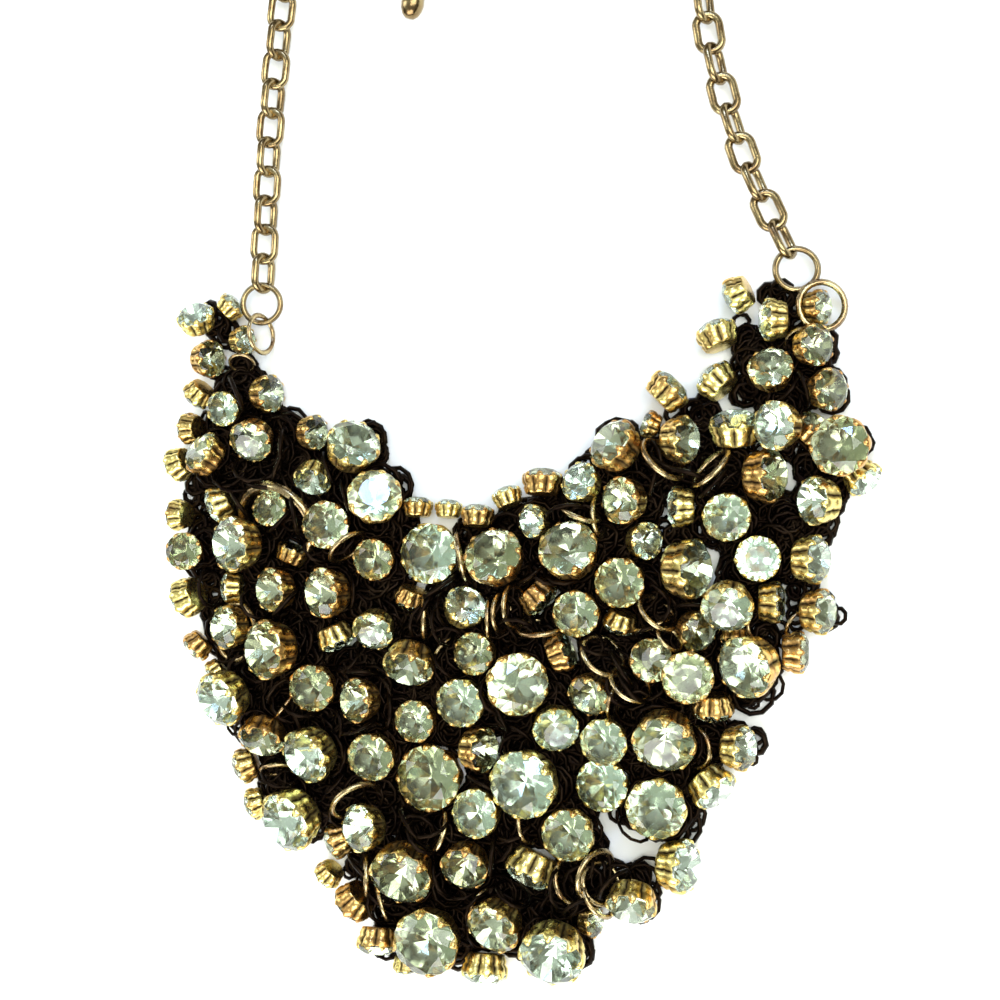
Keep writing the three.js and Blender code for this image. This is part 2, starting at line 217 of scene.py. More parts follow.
def glassMaterial(name, look, backed):
    material, tree, surface, place = newMaterial(name)
    group = addNode(tree, "ShaderNodeGroup", {"node_tree": haze}, Vector=place)
    group.inputs["Clear"].default_value = (*look["clear"], 1)
    group.inputs["Smoky"].default_value = (*look["smoky"], 1)
    group.inputs["Scale"].default_value = look["scale"]
    group.inputs["Gloss"].default_value = look["gloss"]
    setInput(tree, group.inputs["Tint"], attributeOf(tree, "tone"))
    tree.links.new(group.outputs["Color"], surface.inputs["Base Color"])
    tree.links.new(group.outputs["Roughness"], surface.inputs["Roughness"])
    surface.inputs["Metallic"].default_value = 1 if backed else 0
    surface.inputs["Transmission Weight"].default_value = 0 if backed else 1
    surface.inputs["IOR"].default_value = look.get("ior", 1.5)
    return material


patina = patinaGroup()
haze = hazeGroup()

settingLook = {
    "bright": (0.86, 0.70, 0.25),
    "worn": (0.60, 0.34, 0.11),
    "grime": (0.03, 0.018, 0.008),
    "scale": 260, "shine": 0.25, "bump": 0.25,
}
wireLook = {
    "bright": (0.50, 0.40, 0.21),
    "worn": (0.26, 0.16, 0.08),
    "grime": (0.03, 0.018, 0.01),
    "scale": 330, "shine": 0.22, "bump": 0.3, "tone": 0.5,
}
chainLook = {
    "bright": (0.33, 0.25, 0.125),
    "worn": (0.15, 0.09, 0.04),
    "grime": (0.03, 0.016, 0.007),
    "scale": 420, "shine": 0.17, "bump": 0.3, "tone": 0.45,
}
# Painted shade: the rings of the mesh are coloured near-black, grime included, so the gaps between the crowns
# read as deep shadow.
ringShadeLook = {
    "bright": (0.016, 0.010, 0.006),
    "worn": (0.007, 0.004, 0.003),
    "grime": (0.002, 0.002, 0.001),
    "scale": 330, "shine": 0.4, "bump": 0.3, "tone": 0.5,
}
glassLook = {"clear": (0.90, 0.98, 0.93), "smoky": (0.80, 0.82, 0.66), "scale": 160, "gloss": 0.0, "ior": 1.5}
foilLook = {"clear": (0.84, 0.92, 0.86), "smoky": (0.64, 0.67, 0.52), "scale": 220, "gloss": 0.15}

settingBrass = brassMaterial("setting_brass_look", settingLook, recess="recess", tone="tone")
wireBrass = brassMaterial("ring_brass_look", wireLook)
chainBrass = brassMaterial("chain_brass_look", chainLook)
ringShadeBrass = brassMaterial("base_ring_look", ringShadeLook)
crystalGlass = glassMaterial("crystal_look", glassLook, False)
foilBack = glassMaterial("crystal_foil_look", foilLook, True)


# The stones, read back from the frame.

cutShares = {"table": 0.27, "crown": 0.20, "sides": 8, "narrowest": 4.0, "widest": 12.0}


def flatCorners(bm):
    # The corners of each plane of a body: its normal and every different corner of its faces.
    planes = []
    for face in bm.faces:
        if face.calc_area() < 0.02 * mm * mm:
            continue
        offset = face.normal.dot(face.verts[0].co)
        for plane in planes:
            if plane["normal"].dot(face.normal) > 0.99998 and abs(plane["offset"] - offset) < 0.004 * mm:
                break
        else:
            plane = {"normal": face.normal.copy(), "offset": offset, "corners": {}}
            planes.append(plane)
        for vert in face.verts:
            plane["corners"][vert.index] = vert.co.copy()
    return [(plane["normal"], list(plane["corners"].values())) for plane in planes]


def circleThrough(a, b, c):
    ab, ac = b - a, c - a
    normal = ab.cross(ac)
    if normal.length < 1e-9:
        return None, 0
    middle = a + (normal.cross(ab) * ac.length_squared + ac.cross(normal) * ab.length_squared) / (
        2 * normal.length_squared)
    return middle, (middle - a).length


def tableOf(normal, corners):
    # The middle, reach and one corner of a stone's table, though a bar may cut off some of its corners.
    smallest, largest = (cutShares["table"] * cutShares[key] * mm for key in ("narrowest", "widest"))
    step = 2 * math.pi / cutShares["sides"]
    best = None
    for i, j, k in itertools.combinations(range(len(corners)), 3):
        middle, reach = circleThrough(corners[i], corners[j], corners[k])
        if middle is None or not smallest < reach < largest:
            continue
        arm = corners[i] - middle
        fits = 0
        for corner in corners:
            other = corner - middle
            turn = arm.angle(other) / step if other.length > smallest / 2 else 0.5
            fits += abs(other.length - reach) < 0.01 * reach and abs(turn - round(turn)) < 0.03
        if best is None or fits > best[0]:
            best = (fits, middle, reach, arm.normalized())
        if fits == cutShares["sides"]:
            break
    return best if best and best[0] >= 5 else None


def hasGirdle(bm, place, facing, width):
    count = 0
    for vert in bm.verts:
        away = vert.co - place
        height = away.dot(facing)
        reach = (away - facing * height).length
        count += abs(height) < 0.08 * width and 0.39 < reach / width < 0.53
    return count >= 3


def readStones(node):
    bm = bmesh.new()
    bm.from_mesh(node.data)
    bmesh.ops.remove_doubles(bm, verts=bm.verts, dist=0.000002)
    bmesh.ops.dissolve_limit(bm, angle_limit=0.01, verts=bm.verts, edges=bm.edges)
    bm.verts.index_update()
    found = []
    for normal, corners in flatCorners(bm):
        if not 5 <= len(corners) <= 20:
            continue
        table = tableOf(normal, corners)
        if table:
            fits, middle, reach, arm = table
            width = reach / cutShares["table"]
            place = middle - normal * cutShares["crown"] * width
            if hasGirdle(bm, place, normal, width):
                found.append({"width": width, "facing": normal, "corner": arm, "place": place})
    bm.free()
    return found


stones = {}
for nodeName, node in sorted(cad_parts.items()):
    if nodeName.startswith(("strand_", "crystal_")):
        stones[nodeName] = readStones(node)
chance = random.Random(41)
for found in stones.values():
    for stone in found:
        side = stone["facing"].cross(stone["corner"])
        axes = Matrix((stone["corner"], side, stone["facing"])).transposed()
        roll = Quaternion((0, 0, 1), math.radians(chance.uniform(-22, 22)))
        stone["turn"] = axes.to_quaternion() @ roll
        stone["tone"] = chance.random()
allStones = [stone for found in stones.values() for stone in found]
say(f"{len(allStones)} stones read from {len(stones)} nodes")


# Templates: one crown setting and one crystal, each of width 1.

crown = {
    "lobes": 8, "steps": 8,
    "base": 0.395, "floor": -0.405, "girdle": 0.495, "flute": 0.075, "waist": 0.018,
    "wall": 0.03, "clawTop": 0.11, "clawReach": 0.075, "clawWidth": 0.24,
}


def crownMesh():
    columns = crown["lobes"] * crown["steps"]
    bm = bmesh.new()
    layer = bm.verts.layers.float.new("recess")

    def ring(radius, height, flute, tongue, recess):
        row = []
        for i in range(columns):
            angle = 2 * math.pi * i / columns
            wave = abs(math.sin(angle * crown["lobes"] / 2))       # 1 on a lobe, 0 in a groove
            claw = max(0.0, 1 - (1 - wave) / crown["clawWidth"]) if tongue else 0.0
            claw = claw * claw * (3 - 2 * claw)
            r = (radius - flute * (1 - wave ** 0.7) - tongue[0] * claw if tongue
                 else radius - flute * (1 - wave ** 0.7))
            z = height + (tongue[1] * claw if tongue else 0.0)
            vert = bm.verts.new((r * math.cos(angle), r * math.sin(angle), z))
            vert[layer] = recess * (1 - wave) ** 0.8
            row.append(vert)
        return row

    wall, flute = crown["wall"], crown["flute"]
    base, girdle, floor = crown["base"], crown["girdle"], crown["floor"]
    rows = [
        ring(base - 0.05, floor, 0.0, None, 0.3),
        ring(base - 0.01, floor + 0.01, flute * 0.3, None, 0.8),
        ring(base + 0.012, floor * 0.86, flute * 0.8, None, 1.0),
        ring((base + girdle) / 2, floor * 0.66, flute, None, 1.0),
        ring((base + girdle) / 2 - crown["waist"], floor * 0.52, flute, None, 1.0),
        ring(girdle - 0.012, floor * 0.34, flute, None, 1.0),
        ring(girdle - 0.002, floor * 0.2, flute * 0.9, None, 1.0),
        ring(girdle, -0.045, flute * 0.75, None, 0.9),
        ring(girdle - 0.002, -0.018, flute * 0.5, (0.0, 0.05), 0.8),
        ring(girdle - 0.006, -0.01, flute * 0.45, (0.02, 0.1), 0.5),
        ring(girdle - 0.012, -0.008, flute * 0.42, (crown["clawReach"], crown["clawTop"] + 0.01), 0.4),
        ring(girdle - wall, -0.012, flute * 0.3, (crown["clawReach"], crown["clawTop"] - 0.02), 0.4),
        ring(girdle - wall, -0.03, flute * 0.3, (0.0, 0.02), 0.8),
        ring(girdle - wall - 0.05, floor * 0.45, flute * 0.6, None, 1.0),
        ring(base - wall - 0.03, floor + 0.065, flute * 0.3, None, 1.0),
    ]
    for lower, upper in zip(rows, rows[1:]):
        for i in range(columns):
            j = (i + 1) % columns
            bm.faces.new((lower[i], lower[j], upper[j], upper[i])).smooth = True
    for row, height, flip in ((rows[0], floor, True), (rows[-1], floor + 0.065, False)):
        hub = bm.verts.new((0, 0, height))
        hub[layer] = 0.5
        for i in range(columns):
            j = (i + 1) % columns
            corners = (row[j], row[i], hub) if flip else (row[i], row[j], hub)
            bm.faces.new(corners).smooth = True
    mesh = bpy.data.meshes.new("crown_template")
    bmesh.ops.recalc_face_normals(bm, faces=bm.faces)
    bm.to_mesh(mesh)
    bm.free()
    return mesh


crystal = {
    "sides": 8, "table": 0.28, "top": 0.195, "star": 0.39, "girdle": 0.478,
    "edgeTop": 0.03, "edgeFoot": 0.0, "lower": 0.2, "culet": -0.33,
}


def crystalMesh():
    sides = crystal["sides"]
    bm = bmesh.new()
    behind = bm.faces.layers.bool.new("backed")

    def ring(radius, height, shift, count=sides):
        row = []
        for i in range(count):
            angle = 2 * math.pi * (i + shift) / count
            row.append(bm.verts.new((radius * math.cos(angle), radius * math.sin(angle), height)))
        return row

    def onLine(radius, inner, outer):
        # The height that keeps a kite facet flat between its inner and outer corners.
        share = (radius * math.cos(math.pi / sides) - inner[0]) / (outer[0] - inner[0])
        return inner[1] + share * (outer[1] - inner[1])

    table, girdle = crystal["table"], crystal["girdle"]
    starZ = onLine(crystal["star"], (table, crystal["top"]), (girdle, crystal["edgeTop"]))
    lowerZ = onLine(crystal["lower"], (0, crystal["culet"]), (girdle, crystal["edgeFoot"]))
    top = ring(table, crystal["top"], 0)
    star = ring(crystal["star"], starZ, 0.5)
    edgeTop = ring(girdle, crystal["edgeTop"], 0, 2 * sides)
    edgeFoot = ring(girdle, crystal["edgeFoot"], 0, 2 * sides)
    lower = ring(crystal["lower"], lowerZ, 0.5)
    culet = bm.verts.new((0, 0, crystal["culet"]))
    bm.faces.new(top)
    backed = []
    for i in range(sides):
        j, before = (i + 1) % sides, (i - 1) % sides
        here, mid, there = 2 * i, 2 * i + 1, (2 * i + 2) % (2 * sides)
        bm.faces.new((top[i], star[i], top[j]))
        bm.faces.new((top[i], star[before], edgeTop[here], star[i]))
        bm.faces.new((star[i], edgeTop[here], edgeTop[mid]))
        bm.faces.new((star[i], edgeTop[mid], edgeTop[there]))
        bm.faces.new((edgeTop[here], edgeFoot[here], edgeFoot[mid], edgeTop[mid]))
        bm.faces.new((edgeTop[mid], edgeFoot[mid], edgeFoot[there], edgeTop[there]))
        backed.append(bm.faces.new((lower[i], edgeFoot[mid], edgeFoot[here])))
        backed.append(bm.faces.new((lower[i], edgeFoot[there], edgeFoot[mid])))
        backed.append(bm.faces.new((culet, lower[i], edgeFoot[here], lower[before])))
    for face in backed:
        face[behind] = True
    bmesh.ops.recalc_face_normals(bm, faces=bm.faces)
    mesh = bpy.data.meshes.new("crystal_template")
    bm.to_mesh(mesh)
    bm.free()
    return mesh


# Geometry nodes: a template on every point, and the heap of rings.

ringWidth = 0.006


def templateTree():
    tree, start, end = groupTree("set_on_points", "GeometryNodeTree", {
        "Geometry": ("NodeSocketGeometry", None),
        "Template": ("NodeSocketObject", None),
        "Size": ("NodeSocketFloat", 1.0),
        "Material": ("NodeSocketMaterial", None),
        "Back Material": ("NodeSocketMaterial", None),
    }, {"Geometry": ("NodeSocketGeometry", None)})
    template = addNode(tree, "GeometryNodeObjectInfo", Object=start.outputs["Template"])
    turn = addNode(tree, "GeometryNodeInputNamedAttribute", {"data_type": "QUATERNION"}, Name="turn")
    width = addNode(tree, "GeometryNodeInputNamedAttribute", {"data_type": "FLOAT"}, Name="width")
    size = maths(tree, "MULTIPLY", width.outputs["Attribute"], start.outputs["Size"])
    placed = addNode(tree, "GeometryNodeInstanceOnPoints")
    tree.links.new(start.outputs["Geometry"], placed.inputs["Points"])
    tree.links.new(template.outputs["Geometry"], placed.inputs["Instance"])
    tree.links.new(turn.outputs["Attribute"], placed.inputs["Rotation"])
    tree.links.new(size, placed.inputs["Scale"])
    real = addNode(tree, "GeometryNodeRealizeInstances")
    tree.links.new(placed.outputs[0], real.inputs[0])
    front = addNode(tree, "GeometryNodeSetMaterial")
    tree.links.new(real.outputs[0], front.inputs["Geometry"])
    tree.links.new(start.outputs["Material"], front.inputs["Material"])
    backed = addNode(tree, "GeometryNodeInputNamedAttribute", {"data_type": "BOOLEAN"}, Name="backed")
    back = addNode(tree, "GeometryNodeSetMaterial")
    tree.links.new(front.outputs[0], back.inputs["Geometry"])
    tree.links.new(backed.outputs["Attribute"], back.inputs["Selection"])
    tree.links.new(start.outputs["Back Material"], back.inputs["Material"])
    tree.links.new(back.outputs[0], end.inputs["Geometry"])
    return tree


def ringTree():
    tree, start, end = groupTree("wire_rings", "GeometryNodeTree", {
        "Geometry": ("NodeSocketGeometry", None),
        "Wire": ("NodeSocketFloat", 0.0008),
        "Sides": ("NodeSocketInt", 12),
        "Material": ("NodeSocketMaterial", None),
    }, {"Geometry": ("NodeSocketGeometry", None)})
    read = start.outputs
    turn = addNode(tree, "GeometryNodeInputNamedAttribute", {"data_type": "QUATERNION"}, Name="turn")
    width = addNode(tree, "GeometryNodeInputNamedAttribute", {"data_type": "FLOAT"}, Name="width")
    # Rings are drawn 1 m wide and scaled, so their wire is divided by the width that most of them have.
    loop = addNode(tree, "GeometryNodeCurvePrimitiveCircle", Radius=0.5)
    tree.links.new(read["Sides"], loop.inputs["Resolution"])
    section = addNode(tree, "GeometryNodeCurvePrimitiveCircle", Resolution=4)
    tree.links.new(maths(tree, "MULTIPLY", read["Wire"], 0.5 / ringWidth), section.inputs["Radius"])
    ring = addNode(tree, "GeometryNodeCurveToMesh")
    tree.links.new(loop.outputs[0], ring.inputs["Curve"])
    tree.links.new(section.outputs[0], ring.inputs["Profile Curve"])
    placed = addNode(tree, "GeometryNodeInstanceOnPoints")
    tree.links.new(read["Geometry"], placed.inputs["Points"])
    tree.links.new(ring.outputs[0], placed.inputs["Instance"])
    tree.links.new(turn.outputs["Attribute"], placed.inputs["Rotation"])
    tree.links.new(width.outputs["Attribute"], placed.inputs["Scale"])
    real = addNode(tree, "GeometryNodeRealizeInstances")
    tree.links.new(placed.outputs[0], real.inputs[0])
    smooth = addNode(tree, "GeometryNodeSetShadeSmooth")
    tree.links.new(real.outputs[0], smooth.inputs[0])
    painted = addNode(tree, "GeometryNodeSetMaterial")
    tree.links.new(smooth.outputs[0], painted.inputs["Geometry"])
    tree.links.new(read["Material"], painted.inputs["Material"])
    tree.links.new(painted.outputs[0], end.inputs["Geometry"])
    return tree


def chainTree():
    tree, start, end = groupTree("cable_chain", "GeometryNodeTree", {
        "Geometry": ("NodeSocketGeometry", None),
        "Links": ("NodeSocketInt", 10),
        "Link Length": ("NodeSocketFloat", 0.0069),
        "Link Width": ("NodeSocketFloat", 0.0048),
        "Wire": ("NodeSocketFloat", 0.0011),
        "Flat Roll": ("NodeSocketFloat", 0.2),
        "Upright Roll": ("NodeSocketFloat", 1.3),
        "Material": ("NodeSocketMaterial", None),
    }, {"Geometry": ("NodeSocketGeometry", None)})
    read = start.outputs
    path = addNode(tree, "GeometryNodeResampleCurve")
    tree.links.new(read["Geometry"], path.inputs["Curve"])
    tree.links.new(read["Links"], path.inputs["Count"])
    width = maths(tree, "SUBTRACT", read["Link Width"], read["Wire"])
    outline = addNode(tree, "GeometryNodeCurvePrimitiveCircle",
                      Resolution=24, Radius=maths(tree, "MULTIPLY", width, 0.5))
    stretch = maths(tree, "MULTIPLY", maths(tree, "SUBTRACT", read["Link Length"], read["Link Width"]), 0.5)
    corner = tree.nodes.new("ShaderNodeSeparateXYZ")
    tree.links.new(tree.nodes.new("GeometryNodeInputPosition").outputs[0], corner.inputs[0])
    shift = tree.nodes.new("ShaderNodeCombineXYZ")
    tree.links.new(maths(tree, "MULTIPLY", maths(tree, "SIGN", corner.outputs[0]), stretch), shift.inputs[0])
    drawn = tree.nodes.new("GeometryNodeSetPosition")
    tree.links.new(outline.outputs[0], drawn.inputs["Geometry"])
    tree.links.new(shift.outputs[0], drawn.inputs["Offset"])
    section = addNode(tree, "GeometryNodeCurvePrimitiveCircle", Resolution=8)
    tree.links.new(maths(tree, "MULTIPLY", read["Wire"], 0.5), section.inputs["Radius"])
    link = addNode(tree, "GeometryNodeCurveToMesh")
    tree.links.new(drawn.outputs[0], link.inputs["Curve"])
    tree.links.new(section.outputs[0], link.inputs["Profile Curve"])
    tangent = addNode(tree, "GeometryNodeInputTangent")
    align = addNode(tree, "FunctionNodeAlignRotationToVector", {"axis": "X", "pivot_axis": "Z"})
    tree.links.new(tangent.outputs[0], align.inputs["Vector"])
    index = addNode(tree, "GeometryNodeInputIndex")
    odd = maths(tree, "MODULO", index.outputs[0], 2.0)
    roll = between(tree, odd, 0.0, 1.0, read["Upright Roll"], read["Flat Roll"])
    rollTurn = addNode(tree, "ShaderNodeCombineXYZ")
    tree.links.new(roll, rollTurn.inputs[0])
    rollRotation = addNode(tree, "FunctionNodeEulerToRotation")
    tree.links.new(rollTurn.outputs[0], rollRotation.inputs[0])
    turned = addNode(tree, "FunctionNodeRotateRotation", {"rotation_space": "LOCAL"})
    tree.links.new(align.outputs[0], turned.inputs[0])
    tree.links.new(rollRotation.outputs[0], turned.inputs[1])
    placed = addNode(tree, "GeometryNodeInstanceOnPoints")
    tree.links.new(path.outputs[0], placed.inputs["Points"])
    tree.links.new(link.outputs[0], placed.inputs["Instance"])
    tree.links.new(turned.outputs[0], placed.inputs["Rotation"])
    real = addNode(tree, "GeometryNodeRealizeInstances")
    tree.links.new(placed.outputs[0], real.inputs[0])
    smooth = addNode(tree, "GeometryNodeSetShadeSmooth")
    tree.links.new(real.outputs[0], smooth.inputs[0])
    painted = addNode(tree, "GeometryNodeSetMaterial")
    tree.links.new(smooth.outputs[0], painted.inputs["Geometry"])
    tree.links.new(read["Material"], painted.inputs["Material"])
    tree.links.new(painted.outputs[0], end.inputs["Geometry"])
    return tree


def grow(source, tree, name, **inputs):
    # Runs a tree on an object and gives the result back as a plain mesh of its own.
    modifier = source.modifiers.new("grow", "NODES")
    modifier.node_group = tree
    sockets = {item.name: item.identifier for item in tree.interface.items_tree if item.in_out == "INPUT"}
    for label, value in inputs.items():
        modifier[sockets[label.replace("_", " ")]] = value
    bpy.context.view_layer.update()
    evaluated = source.evaluated_get(bpy.context.evaluated_depsgraph_get())
    mesh = bpy.data.meshes.new_from_object(evaluated)
    source.modifiers.remove(modifier)
    bpy.data.objects.remove(source)
    mesh.name = name
    piece = bpy.data.objects.new(name, mesh)
    bpy.context.scene.collection.objects.link(piece)
    return piece


def finishPiece(piece, slot, *nodes):
    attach(piece, "root")
    if nodes:
        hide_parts(*nodes)
    return piece


def pointObject(rows, name):
    mesh = bpy.data.meshes.new(name)
    mesh.from_pydata([row["place"] for row in rows], [], [])
    turn = mesh.attributes.new("turn", "QUATERNION", "POINT")
    for i, row in enumerate(rows):
        turn.data[i].value = row["turn"]
    for key in ("width", "tone"):
        layer = mesh.attributes.new(key, "FLOAT", "POINT")
        layer.data.foreach_set("value", [row[key] for row in rows])
    points = bpy.data.objects.new(name, mesh)
    bpy.context.scene.collection.objects.link(points)
    return points


def templateObject(mesh):
    template = bpy.data.objects.new(mesh.name, mesh)
    bpy.context.scene.collection.objects.link(template)
    return template


setOnPoints = templateTree()
wireRings = ringTree()
cableChain = chainTree()

crownTemplate = templateObject(crownMesh())
crystalTemplate = templateObject(crystalMesh())

for nodeName, found in stones.items():
    number = nodeName.split("_", 1)[1]
    large = nodeName.startswith("crystal_")
    metalNode = f"setting_{number}" if large else nodeName
    metalName = f"crown_{number}" if large else f"{number}_crowns"
    glassName = f"stone_{number}" if large else f"{number}_stones"
    crowns = grow(pointObject(found, "points"), setOnPoints, metalName, Template=crownTemplate, Size=1.0,
                  Material=settingBrass, Back_Material=settingBrass)
    finishPiece(crowns, "setting_brass", metalNode)
    gems = grow(pointObject(found, "points"), setOnPoints, glassName, Template=crystalTemplate, Size=1.0,
                Material=crystalGlass, Back_Material=foilBack)
    finishPiece(gems, "crystal", nodeName)
say("crowns and crystals set")


# Rings under the crowns and between them.

ringLays = {
    "base_rings": {"pitch": 1.7, "lift": (0.0, 1.6), "tilt": 0.45, "width": (4.4, 6.2), "wire": 0.8,
                   "tries": 6, "sides": 10, "widestGap": 190},
    "small_rings": {"pitch": 1.4, "lift": (0.0, 0.9), "tilt": 0.4, "width": (1.8, 3.6), "wire": 1.7,
                    "tries": 8, "sides": 8, "widestGap": 162},
    "heaped_rings": {"pitch": 2.8, "lift": (0.8, 3.0), "tilt": 1.4, "width": (4.8, 6.4), "wire": 0.75,
                     "tries": 16, "sides": 10, "widestGap": 170},
}
# The hole stays bare. The fills are extra spots where the near-black rings, painted shade for the gaps, may
# also lie.
bib = {"company": 3.0, "fewest": 4, "reach": 12.0, "inset": 0.3, "jitter": 0.7, "hole": (18.4, -53.0, 2.9),
       "fills": [(18.0, -46.8, 3.4), (21.8, -47.6, 2.6), (37.5, 27.5, 3.0), (41.0, 30.0, 3.0),
                 (45.0, 29.0, 2.8), (30.0, 16.0, 2.4), (33.5, 19.5, 2.4), (36.0, 24.5, 2.6),
                 (34.8, 28.8, 1.8), (-47.5, 22.5, 2.4), (-45.0, 19.5, 2.4)],
       "corner": (-66.0, -84.0), "size": (132, 128), "cell": 0.5}

stonePlaces = np.array([stone["place"] for stone in allStones])
stoneFacings = np.array([stone["facing"] for stone in allStones])
stoneWidths = np.array([stone["width"] for stone in allStones])
ringAngles = np.linspace(0, 2 * math.pi, 12, endpoint=False)


def bibMask(widestGap):
    # True in the cells of the chart that are on a stone or have stones in every direction round them.
    columns, rows = (int(side / bib["cell"]) for side in bib["size"])
    x = origin.x / mm + bib["corner"][0] + (np.arange(columns) + 0.5) * bib["cell"]
    y = origin.y / mm + bib["corner"][1] + (np.arange(rows) + 0.5) * bib["cell"]
    gridX, gridY = np.meshgrid(x, y, indexing="ij")
    awayX = stonePlaces[:, 0] / mm - gridX[..., None]
    awayY = stonePlaces[:, 1] / mm - gridY[..., None]
    reach = np.hypot(awayX, awayY)
    onStone = (reach < stoneWidths / mm / 2 - bib["inset"]).any(axis=2)
    bearing = np.where(reach < bib["reach"], np.degrees(np.arctan2(awayY, awayX)), np.nan)
    bearing = np.sort(bearing, axis=2)
    steps = np.nan_to_num(np.diff(bearing, axis=2), nan=0.0).max(axis=2)
    lowest = np.nan_to_num(bearing[..., 0])
    highest = np.nan_to_num(np.where(np.isnan(bearing), -np.inf, bearing).max(axis=2), neginf=0.0)
    widest = np.maximum(steps, 360 - (highest - lowest))
    holeX, holeY, holeReach = bib["hole"]
    hole = np.hypot(gridX - origin.x / mm - holeX, gridY - origin.y / mm - holeY) < holeReach
    filled = np.zeros(hole.shape, bool)
    for fillX, fillY, fillReach in bib["fills"]:
        filled |= np.hypot(gridX - origin.x / mm - fillX, gridY - origin.y / mm - fillY) < fillReach
    return (onStone | filled | (widest < widestGap)) & ~hole


def insideBib(points, mask):
    cells = ((points[:, :2] / mm - np.array(origin.xy) / mm - np.array(bib["corner"]))
             / bib["cell"]).astype(int)
    cells = np.clip(cells, 0, np.array(mask.shape) - 1)
    return mask[cells[:, 0], cells[:, 1]].all()


def meetsStones(points, cupCost=1.0):
    # What a ring costs for each of its points that is in a stone, on top of one or in the cup below it.
    away = points[:, None, :] - stonePlaces[None, :, :]
    height = (away * stoneFacings[None, :, :]).sum(axis=2)
    radius = np.sqrt(np.maximum((away ** 2).sum(axis=2) - height ** 2, 0)) / stoneWidths
    height = height / stoneWidths
    above = (np.hypot(away[..., 0], away[..., 1]) < 0.5 * stoneWidths) & (away[..., 2] > 0)
    glass = (height > -0.06) & (height < 0.24) & (radius < 0.53)
    cup = (height > -0.46) & (height <= -0.06) & (radius < 0.52 + 0.3 * height)
    return (above | glass).any(axis=1).sum() + cupCost * cup.any(axis=1).sum()


def loopPoints(place, turn, width):
    across = np.array(turn @ Vector((1, 0, 0)))
    along = np.array(turn @ Vector((0, 1, 0)))
    loop = np.outer(np.cos(ringAngles), across) + np.outer(np.sin(ringAngles), along)
    return np.array(place) + loop * width / 2


def heapRings(lay):
    rings = []
    mask = bibMask(lay["widestGap"])
    pitch, jitter = lay["pitch"], bib["jitter"]
    columns, rows = (int(side / pitch) for side in bib["size"])
    for row in range(rows):
        for column in range(columns):
            x = bib["corner"][0] + column * pitch + chance.uniform(-jitter, jitter)
            y = bib["corner"][1] + row * pitch + chance.uniform(-jitter, jitter)
            narrow, wide = lay["width"]
            for attempt in range(lay["tries"]):
                width = wide - (wide - narrow) * (attempt + chance.random()) / lay["tries"]
                tilt = chance.uniform(0.05, lay["tilt"])
                turn = Quaternion(up, chance.uniform(0, 2 * math.pi)) @ Quaternion((1, 0, 0), tilt)
                place = atChart(x, y, width / 2 * math.sin(tilt) + 0.45 + chance.uniform(*lay["lift"]))
                points = loopPoints(place, turn, width * mm)
                if insideBib(points, mask) and not meetsStones(points):
                    rings.append({"place": place, "turn": turn, "width": width * mm, "tone": chance.random()})
                    break
    # A ring that lies alone would float beside the bib, so it is left out.
    middles = np.array([ring["place"] for ring in rings])
    near = (np.hypot(*(middles[:, None, :2] - middles[None, :, :2]).transpose(2, 0, 1))
            < bib["company"] * lay["pitch"] * mm)
    return [ring for ring, company in zip(rings, near.sum(axis=1)) if company > bib["fewest"]]


# Every lay is drawn in the near-black ring look: real rings of the mesh, darkened as painted shade for the
# gaps between the crowns.
for name, lay in ringLays.items():
    rings = heapRings(lay)
    piece = grow(pointObject(rings, "points"), wireRings, name,
                 Wire=lay["wire"] * mm, Sides=lay["sides"], Material=ringShadeBrass)
    finishPiece(piece, "chain_brass")
    say(f"{len(rings)} {name}")


# The jump rings that show between the stones.

compass = ["E", "ENE", "NE", "NNE", "N", "NNW", "NW", "WNW", "W", "WSW", "SW", "SSW", "S", "SSE", "SE", "ESE"]


def facingOf(wind, tilt):
    bearing = 2 * math.pi * compass.index(wind) / len(compass)
    tilt = math.radians(tilt)
    return Vector((math.sin(tilt) * math.cos(bearing), math.sin(tilt) * math.sin(bearing), math.cos(tilt)))


